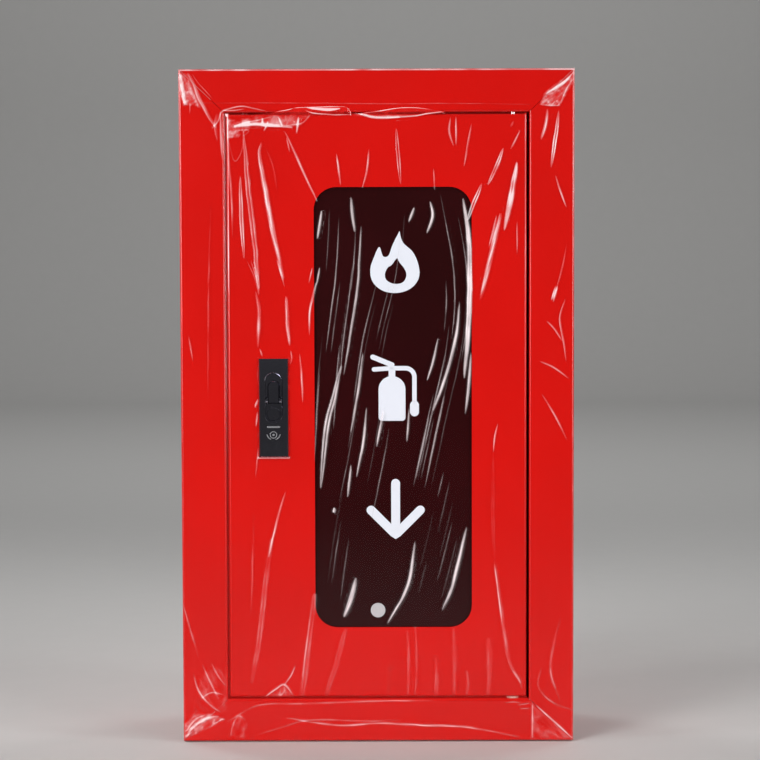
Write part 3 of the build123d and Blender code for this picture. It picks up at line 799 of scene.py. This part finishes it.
    # Bundles over the window, each with its count of folds, and their spread, width and whiteness
    bundle([(-30, 190), (-34, 120), (-44, 40), (-50, -60)], 9, 14, 0.9, 0.3, seed=51)
    bundle([(10, 185), (4, 120), (-10, 60), (-22, -20)], 8, 16, 0.8, 0.22, seed=52)
    bundle([(60, 190), (72, 120), (70, 60), (55, -10), (40, -80)], 10, 12, 0.9, 0.28, seed=53)
    bundle([(0, 20), (-10, -40), (-24, -110), (-34, -180)], 8, 18, 0.9, 0.2, seed=54)
    bundle([(70, -60), (56, -120), (38, -190)], 7, 14, 1.0, 0.18, seed=55)
    # Below the lock and along the bottom
    fold(1.5, 0.75, (-82, -74), (-88, -92), (-95, -120), (-98, -134))
    fold(2.8, 0.34, (-95, -116), (-100, -150), (-107, -208), (-114, -248), twin=1.4, rise=0.1, blunt=0.25)
    fold(1.7, 0.3, (-111, -94), (-112, -130), (-114, -184))
    fold(3.0, 0.34, (-57, -166), (-63, -215), (-68, -259), twin=1.5, rise=0.1, blunt=0.25)
    fold(1.0, 0.3, (-60, -180), (-66, -225), (-71, -258))
    fold(2.8, 0.3, (-29, -198), (-38, -230), (-47, -259), twin=1.4, rise=0.1, blunt=0.25)
    fold(1.0, 0.7, (-84, -249), (-78, -240), (-74, -231))
    fold(1.4, 0.7, (-102, -260), (-92, -253), (-84, -249), (-76, -259))
    gather([(-102, -260), (-84, -250), (-76, -260)], 0.3, seed=9)
    # Upright folds under the window: the place across, the top and the width of each
    uprights = [
        (26, -200, 2.5), (33, -196, 2.0), (51, -222, 3.6), (67, -198, 3.4), (79, -236, 2.4), (98, -206, 4.2),
    ]
    for a, top, width in uprights:
        fold(width, 0.3, (a, top), (a + 1, top / 2 - 130), (a, -259), rise=0.1, blunt=0.25)
    gather([(8, -226), (24, -226), (24, -258), (8, -258)], 0.12, soft=4, cell=4, seed=10)
    fold(1.2, 0.6, (107, -14), (104, -28), (103, -41))
    fold(2.2, 0.2, (103, -40), (102.5, -90), (104, -140), twin=1.0)
    fold(2.8, 0.4, (104, -138), (109, -175), (113, -206), (118, -231), (128, -248), blunt=0.3)
    fold(1.0, 0.5, (104, -140), (107, -165), (111, -196))
    fold(1.6, 0.3, (120, -236), (126, -245), (129, -254))
    # Round the lock
    fold(1.1, 0.7, (-106.5, 8), (-109.5, 0))
    fold(1.2, 0.7, (-107, -3), (-108.5, -17))
    fold(1.0, 0.5, (-106, -34), (-107.5, -46), (-109, -62))
    fold(2.2, 0.7, (-108, 105), (-105.5, 87), (-106.3, 60), (-106.3, 53))
    for shift in (-3.5, 0.0, 3.0):
        fold(0.9, 0.4, (-112.5 + shift, 132), (-108 + shift / 2, 118), (-105 + shift / 3, 105))
    fold(1.1, 0.6, (-89, 132), (-82, 107))
    fold(2.2, 0.85, (-81, 100), (-80.5, 78), (-78.7, 60), (-77.8, 55))
    fold(1.0, 0.6, (-77, 51.5), (-76.3, 44), (-77.8, 38))
    fold(1.0, 0.5, (-104.5, 53), (-102.3, 45.5))
    fold(1.3, 0.65, (-69.2, 49), (-67.4, 23), (-66.7, 4))
    # Down the window's left edge
    fold(1.1, 0.6, (-57.3, 125), (-60.9, 110.5))
    fold(1.5, 0.7, (-53.8, 112), (-60, 87), (-60.4, 64))
    fold(1.0, 0.6, (-51, 125), (-54, 109))


def frame_folds(film):
    """The film on the frame: gathered at the corners, and lying flat along the members."""
    fold, gather = film.fold, film.gather
    # Top left corner
    patch = [(-175, 296), (-168, 297), (-156, 266), (-162, 268), (-171, 268)]
    gather(patch, 0.4, cell=2.5, pull=(0.35, -1.0), seed=21)
    fold(2.2, 0.75, (-173, 297), (-172, 282), (-169, 268))
    fold(2.2, 0.85, (-167, 297), (-162, 287), (-158, 276), (-153, 266), (-148, 257), (-142, 248))
    fold(1.0, 0.4, (-163, 296), (-156, 286), (-144, 273))
    fold(1.0, 0.4, (-165, 270), (-165, 260))
    fold(0.8, 0.3, (-153, 270), (-90, 270), (3, 269), (80, 269), (136, 268), rise=0.1, blunt=0.2)
    fold(1.0, 0.7, (-146, 247), (-140, 254), (-137, 262), (-130, 265), (-119, 267), (-108, 265), (-98, 263))
    fold(0.8, 0.6, (-136, 263.5), (-126, 263.5), (-116, 265))
    fold(1.5, 0.6, (-138, 263), (-138, 245), (-137, 220))
    fold(2.2, 0.35, (-141, 262), (-143, 250), (-141, 236))
    # Top right corner
    patch = [(174, 299), (160, 288), (148, 278), (144, 268), (162, 267), (173, 286)]
    gather(patch, 0.4, cell=2.2, pull=(-1.0, -0.9), seed=23)
    fold(1.6, 0.9, (174, 297), (167, 289), (158, 283), (149, 277))
    fold(1.2, 0.5, (174, 292), (168, 282), (162, 268))
    fold(1.0, 0.6, (144, 268), (153, 267), (163, 267))
    fold(1.9, 0.85, (151, 265), (149, 250), (145, 237))
    fold(1.6, 0.8, (161, 263), (158, 240), (154, 212), twin=1.0)
    fold(1.2, 0.7, (158, 206), (162, 192), (168, 177))
    # Down the right side
    fold(1.2, 0.6, (160, 108), (156, 93))
    fold(1.3, 0.6, (167, 97), (162, 79), (165, 60), (168, 40))
    fold(1.2, 0.6, (150, 77), (157, 70), (164, 59))
    fold(1.3, 0.65, (144, 41), (157, 35), (171, 25))
    fold(1.3, 0.65, (146, 12), (158, -8), (169, -30))
    fold(2.0, 0.4, (163, -189), (157, -212), (154, -236), (159, -254))
    # Down the left side
    fold(1.4, 0.3, (-147, 185), (-150, 100), (-151, 7))
    fold(1.1, 0.5, (-168, 65), (-164, 41))
    fold(1.2, 0.5, (-175, -175), (-168, -200), (-161, -224))
    # Bottom right corner
    patch = [(137, -264), (174, -298), (137, -298)]
    gather(patch, 0.35, soft=3, cell=5, rough=0.6, pull=(1.0, -0.9), seed=25)
    fold(1.0, 0.5, (138, -264), (138, -298), blunt=0.3)
    fold(1.2, 0.75, (141, -268), (158, -283), (174, -298), blunt=0.4)
    fold(1.3, 0.5, (146, -234), (143, -247), (146, -256), (157, -266), (175, -273))
    fold(1.6, 0.35, (154, -234), (156, -246), (163, -264))
    fold(0.9, 0.6, (113, -266), (121, -265), (128, -266))
    fold(0.9, 0.6, (124, -268), (137, -266))
    fold(0.9, 0.5, (126, -271), (137, -271))
    # Along the bottom, and the bottom left corner
    fold(1.3, 0.45, (-136, -283), (-122, -274), (-104, -267), (-60, -266), (0, -264), (50, -264), blunt=0.3)
    fold(1.5, 0.7, (-83, -279), (-36, -286), (0, -284), (38, -286), (80, -288), (127, -297), blunt=0.4)
    fold(1.2, 0.45, (-110, -295), (-85, -287), (-60, -281), (-12, -282), (20, -281))
    patch = [(-174, -298), (-174, -285), (-166, -275), (-150, -275), (-138, -280), (-152, -288)]
    gather(patch, 0.55, soft=2, cell=3, pull=(1.0, 0.7), seed=27)
    patch = [(-134, -297), (-132, -284), (-124, -276), (-118, -284), (-120, -297)]
    gather(patch, 0.3, soft=3, cell=3, pull=(0.3, 1.0), seed=28)
    patch = [(-166, -275), (-160, -245), (-150, -232), (-136, -236), (-136, -272), (-150, -276)]
    gather(patch, 0.28, soft=4, cell=5, pull=(0.5, -1.0), seed=29)
    fold(2.0, 0.65, (-173, -297), (-166, -287), (-156, -280), (-142, -277))
    fold(1.2, 0.5, (-172, -290), (-165, -281), (-155, -276))
    fold(1.3, 0.6, (-166, -238), (-161, -255), (-150, -268), (-141, -274))
    fold(1.2, 0.6, (-158, -230), (-150, -248), (-143, -262))
    fold(1.1, 0.55, (-150, -228), (-144, -240), (-137, -250))
    fold(1.1, 0.45, (-160, -262), (-150, -256), (-139, -258))
    fold(1.1, 0.35, (-133, -296), (-130, -284), (-125, -277), (-118, -283))
    # A broken line down the right member
    fold(1.2, 0.35, (168.4, 146), (163, 120), (156, 96))
    fold(1.6, 0.7, (158.5, 108), (154.5, 95))


def door_film(material):
    """The film on the door, from the turned edges to a hole round the lock."""
    over, over_top = 3.2, 9.0  # how much film goes past the start of the bend at the door's edge
    flat_a, flat_b = DOOR_HALF_WIDTH - DOOR_BEND, DOOR_HALF_HEIGHT - DOOR_BEND
    half_a, half_b = flat_a + over, flat_b + over
    trim, near = 0.3, 3.0  # from the lock's plate to the cut edge, and the finer part of the grid beside it
    cut_left, cut_bottom = lock[0][0] - trim, lock[0][2] - trim
    cut_right, cut_top = lock[1][0] + trim, lock[1][2] + trim
    column, row, turn = 1.25, 1.6, 0.7  # the grid's steps across, up, and at the edges
    across = steps(
        [-half_a, -flat_a, cut_left - near, cut_left, cut_right, cut_right + near, flat_a, half_a],
        [turn, column, turn, column, turn, column, turn],
    )
    up = steps(
        [-half_b, -flat_b, cut_bottom - near, cut_bottom, cut_top, cut_top + near, flat_b, flat_b + over_top],
        [turn, row, turn, row, turn, row, turn],
    )
    film = Film(across, up)
    # Two flaps at the top lie flat across the gap instead of turning down into it. The top edge has places
    # across with the film's length past the bend, and the flaps have places with a share of flap from 0 to 1.
    top_edge = [
        (-121, 3.2), (-117, 3), (-112, 2.6), (-95, 3.2), (-86, 5.2), (-78, 6.6), (-70, 8.2), (-42, 9),
        (-29, 9), (-24, 7), (-22, 3), (-14, 3), (-11, 3.6), (2, 5.1), (15, 7.2), (24, 8), (36, 7.8),
        (45, 6.7), (58, 4.6), (63, 3), (68, 3.2),
    ]
    flaps = [(-118, 0), (-113, 1), (-26, 1), (-21, 0), (-16, 0), (-12, 1), (57, 1), (62, 0)]
    reach = np.interp(film.a, *zip(*top_edge))
    past_top = film.b > flat_b
    film.b = np.where(past_top, flat_b + (film.b - flat_b) * reach / over_top, film.b)
    flap = past_top * np.interp(film.a, *zip(*flaps))
    door_folds(film)
    a, b = film.a, film.b
    # The paint ends at the window's rounded edge. A place is measured from the lines that lie a radius inside
    # the edge, or in a corner from the middle of its round.
    middle, half = (seal[0] + seal[1]) / 2, (seal[1] - seal[0]) / 2 - SEAL_REACH
    beyond_a = np.abs(a - middle[0]) - half[0] + WINDOW_RADIUS
    beyond_b = np.abs(b - middle[2]) - half[2] + WINDOW_RADIUS
    corner = np.hypot(np.maximum(beyond_a, 0), np.maximum(beyond_b, 0))
    outside = corner + np.minimum(np.maximum(beyond_a, beyond_b), 0)
    film.paint = clamp((outside - WINDOW_RADIUS) / 1.5 + 0.5)
    # Painted highlight along the turned edges, on the bend itself: at the sides it is strongest at the upper
    # left, as the light falls from above, and it is fainter along the top and bottom
    past_a, past_b = np.abs(a) - flat_a, np.abs(b) - flat_b
    uneven = clamp(0.3 + 1.3 * mottle(b / 2, a / 60, 14.0, seed=35) ** 2)
    light_from_above = clamp((b + 20) / 160)
    edge = np.where(a < 0, 0.12 + 0.85 * light_from_above, 0.22 + 0.4 * light_from_above)
    film.paint_light(edge * uneven * bell(past_a, 1.0, 0.75))
    film.paint_light(0.15 * (1 - flap) * bell(past_b, 1.2, 0.8))
    hinge_side = (a > 0) * clamp(past_a - past_b + 0.5)
    # Apart from the hinge side, the lips turned into the gap get a painted milky glow and more of the paint's
    # red, standing in for light in the gap, with less at the top, where the gap is darker
    lip = clamp((np.maximum(past_a, past_b) - 1) / 0.8)
    film.paint += lip
    film.paint_light(LIP_GLOW * (1 - hinge_side) * np.where(b > flat_b, TOP_GLOW_SHARE, 1) * lip)
    # The film's cut edge round the lock is painted with highlights that stand in for glints on the lock
    # plate's edges: white at the bottom, and faintly at the top and in places at the sides
    beside = clamp(4 - 4 * np.maximum(cut_left - a, a - cut_right))
    film.paint_light(beside * bell(b, cut_bottom - 0.3, 0.6))
    film.paint_light(0.18 * beside * bell(b, cut_top + 0.5, 0.5))
    side_a = np.minimum(np.abs(a - cut_left + 0.5), np.abs(a - cut_right - 0.5))
    beside = clamp(2 - np.maximum(cut_bottom - b, b - cut_top)) * mottle(a, b, 6.0, seed=37) ** 2
    film.paint_light(0.5 * beside * bell(side_a, 0, 0.45))
    # Loose film waves a little between its folds, and lies tight near its edges
    inner = clamp((np.minimum(flat_a - np.abs(a), flat_b - np.abs(b))) / 8)
    slack = 0.25 * mottle(a, b / 6, 9.0, seed=31) + 0.12 * mottle(a, b / 5, 4.0, seed=33)
    lift = LIFT + inner * slack + film.height * clamp(inner + 0.15 + 0.5 * flap)
    most = LIP_TURN + hinge_side * (math.pi / 2 - LIP_TURN)
    points = turned_over(a, b, DOOR_HALF_WIDTH, DOOR_HALF_HEIGHT, DOOR_BEND, 1, lift, most)
    # A flap rises over the film on the frame
    over_frame = 0.9 * clamp((b - flat_b) / 4)
    flat = np.stack([a, FACE - lift - over_frame, b], axis=1)
    points = points * (1 - flap[:, None]) + flat * flap[:, None]
    mid_a, mid_b = cells(across, up)
    keep = ~((mid_a > cut_left) & (mid_a < cut_right) & (mid_b > cut_bottom) & (mid_b < cut_top))
    made = film.piece("film_door", points, keep, material)
    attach(made, "door")


def frame_film(material):
    """The film on the frame, turned over its outer edges and into the opening."""
    over_out, over_in = 11.0, 3.2  # how much film goes past the start of the bend, outside and in the opening
    half_a, half_b = HALF_WIDTH - FRAME_BEND + over_out, HALF_HEIGHT - FRAME_BEND + over_out
    hole_a, hole_b = OPENING_HALF_WIDTH + FRAME_BEND - over_in, OPENING_HALF_HEIGHT + FRAME_BEND - over_in
    flat_a, flat_b = HALF_WIDTH - FRAME_BEND, HALF_HEIGHT - FRAME_BEND
    rim_a, rim_b = OPENING_HALF_WIDTH + FRAME_BEND, OPENING_HALF_HEIGHT + FRAME_BEND
    # The grid's steps on the members, at the edges, and along the opening across and up
    fine, turn, column, row = 1.0, 0.9, 1.4, 1.3
    across = steps(
        [-half_a, -flat_a, -rim_a, -hole_a, hole_a, rim_a, flat_a, half_a],
        [turn, fine, turn, column, turn, fine, turn],
    )
    up = steps(
        [-half_b, -flat_b, -rim_b, -hole_b, hole_b, rim_b, flat_b, half_b],
        [turn, fine, turn, row, turn, fine, turn],
    )
    film = Film(across, up)
    frame_folds(film)
    a, b = film.a, film.b
    outer = np.maximum(np.abs(a) - flat_a, np.abs(b) - flat_b)
    inner = np.minimum(rim_a - np.abs(a), rim_b - np.abs(b))
    # Painted highlight along the outer edges: most at the top, as the light falls from above, least at the
    # bottom, and a little more on the right than on the left
    light_from_above = clamp((b - 100) / 120)
    side = np.where(a > 0, 0.55, 0.4) + 0.35 * light_from_above
    rim = np.where(b > flat_b, 1.3, np.where(b < -flat_b, 0.25, side))
    uneven = 0.5 + 0.6 * mottle(a, b, 12.0, seed=41)
    film.paint_light(rim * uneven * bell(outer, 1.3, 0.8))
    # Painted highlight along the opening, on the bend, and a painted milky glow on the lip that stands in for
    # light in the gap, with less at the top and none on the hinge side
    in_a, in_b = rim_a - np.abs(a), rim_b - np.abs(b)
    hinge_side = (a > 0) * clamp(in_b - in_a + 0.5)
    film.paint_light((0.18 + 0.12 * hinge_side) * bell(inner, 1.2, 0.7))
    lip = clamp((inner - 1) / 0.8)
    film.paint += lip
    film.paint_light(LIP_GLOW * (1 - hinge_side) * np.where((b > 0) & (in_b < in_a), TOP_GLOW_SHARE, 1) * lip)
    most = LIP_TURN + hinge_side * (math.pi / 2 - LIP_TURN)
    # Loose film waves a little on the members, and lies tight near their edges
    loose = clamp(np.minimum(-outer, -inner) / 6)
    slack = 0.18 * mottle(a / 2, b / 3, 7.0, seed=43) + 0.1 * mottle(a / 2, b / 3, 3.0, seed=45)
    lift = LIFT + loose * slack + film.height * clamp(loose + 0.25)
    points = np.where(
        (inner > 0)[:, None],
        turned_over(a, b, OPENING_HALF_WIDTH, OPENING_HALF_HEIGHT, FRAME_BEND, -1, lift, most),
        turned_over(a, b, HALF_WIDTH, HALF_HEIGHT, FRAME_BEND, 1, lift),
    )
    mid_a, mid_b = cells(across, up)
    keep = (np.abs(mid_a) > hole_a) | (np.abs(mid_b) > hole_b)
    made = film.piece("film_frame", points, keep, material)
    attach(made, "case")


# Finishes on the cabinet's own pieces

finishes = {
    "red_paint": powder_coat("red_powder_coat", ("#D20B04", "#CB0A03"), 0.24, 0.003),
    "case_paint": powder_coat("red_powder_coat_inside", ("#CC140C", "#C0120B"), 0.42, 0.01),
    "zinc_steel": zinc_plate(),
    "bright_steel": ground_steel(),
    "nylon": nylon(),
    "seal_rubber": foam_rubber(),
    "smoked_acrylic": smoked_acrylic(),
    "pale_plastic": pale_plastic(),
    "black_chrome": black_chrome(),
}
for row in frame["record"]["subparts"]:
    node = frame["nodes"][row["node"]]
    node.data.materials.clear()
    node.data.materials.append(finishes[row["material_slot"]])

ink = screen_print()
for sign in (flame_sign(ink), extinguisher_sign(ink), arrow_sign(ink), lock_mark(silver_fill())):
    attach(sign, "door")

film_finish = wrapping_film()
door_film(film_finish)
frame_film(film_finish)


# Floor, light and camera

def floor():
    """A pale floor that runs back and curves up behind: flat, then a quarter turn, then straight up."""
    side, front, back, bend, top = 6000.0, -6000.0, 4200.0, 900.0, 3000.0
    turn = np.linspace(0, math.pi / 2, 17)
    level = np.linspace(front, back, 12)[:-1]
    y = np.concatenate([level, back + bend * np.sin(turn), [back + bend]])
    z = np.concatenate([0 * level, bend * (1 - np.cos(turn)), [top]]) - HALF_HEIGHT - FLOOR_GAP
    x = np.linspace(-side, side, 13)
    points = np.stack(np.broadcast_arrays(x, y[:, None], z[:, None]), axis=-1)
    piece_from_grid("floor", points, paper())[0]


def softbox(name, place, size, power, aim=(0, -0.15, 0), spread=180):
    """A square soft lamp that points at aim, with a grid that narrows its light to spread degrees. Places and
    size are in metres, and power in watts."""
    lamp = bpy.data.lights.new(name, "AREA")
    lamp.shape, lamp.size, lamp.energy, lamp.spread = "SQUARE", size, power, math.radians(spread)
    made = linked(name, lamp)
    turn = (Vector(aim) - Vector(place)).to_track_quat("-Z", "Y")
    made.matrix_world = Matrix.Translation(place) @ turn.to_matrix().to_4x4()
    made.visible_camera = False


def camera():
    """The photograph's view: 2 m in front of the door, a little above its middle, looking slightly down."""
    aside, distance, above = 0.0065, 1.988, 0.1431  # metres, from the middle of the door
    lens, picture = 106.03, 36.0  # focal length, and width of the picture behind it
    place = np.array([aside, FACE * MM - distance, above])
    pitch, yaw, roll = (math.radians(x) for x in (-3.409, -0.12, -0.172))
    forward = np.array([math.sin(yaw) * math.cos(pitch), math.cos(yaw) * math.cos(pitch), math.sin(pitch)])
    level = np.array([math.cos(yaw), -math.sin(yaw), 0.0])
    plumb = np.cross(level, forward)
    right = math.cos(roll) * level + math.sin(roll) * plumb
    up = -math.sin(roll) * level + math.cos(roll) * plumb
    made = linked("camera", bpy.data.cameras.new("camera"))
    made.data.lens, made.data.sensor_width = lens, picture
    made.matrix_world = Matrix.Translation(place) @ Matrix(np.stack([right, up, -forward], axis=1)).to_4x4()
    bpy.context.scene.camera = made


floor()
softbox("left_box", (-1.75, -2.1, 0.4), 1.0, 6.5, spread=70)
softbox("right_box", (1.85, -2.0, 0.3), 1.0, 4.9, spread=70)
softbox("left_card", (-1.3, -0.6, 0.7), 0.3, 0.45, spread=50)
softbox("right_card", (1.2, -0.6, 0.8), 0.3, 0.45, spread=50)
softbox("top_box", (-0.9, -1.3, 2.0), 1.0, 1.8, spread=60)
softbox("back_box", (0, 1.6, 2.8), 2.0, 60, aim=(0, 4.6, 0.6))
softbox("rear_left", (-1.9, 1.5, 0.9), 1.0, 3.5, spread=60)
softbox("rear_right", (1.9, 1.5, 0.9), 1.0, 3.0, spread=60)
world = bpy.data.worlds.new("studio")
world.use_nodes = True
background = world.node_tree.nodes["Background"].inputs
background["Color"].default_value = colour("#F4F6FA")
background["Strength"].default_value = 0.075
bpy.context.scene.world = world
camera()
bpy.context.scene.view_settings.view_transform = "Standard"
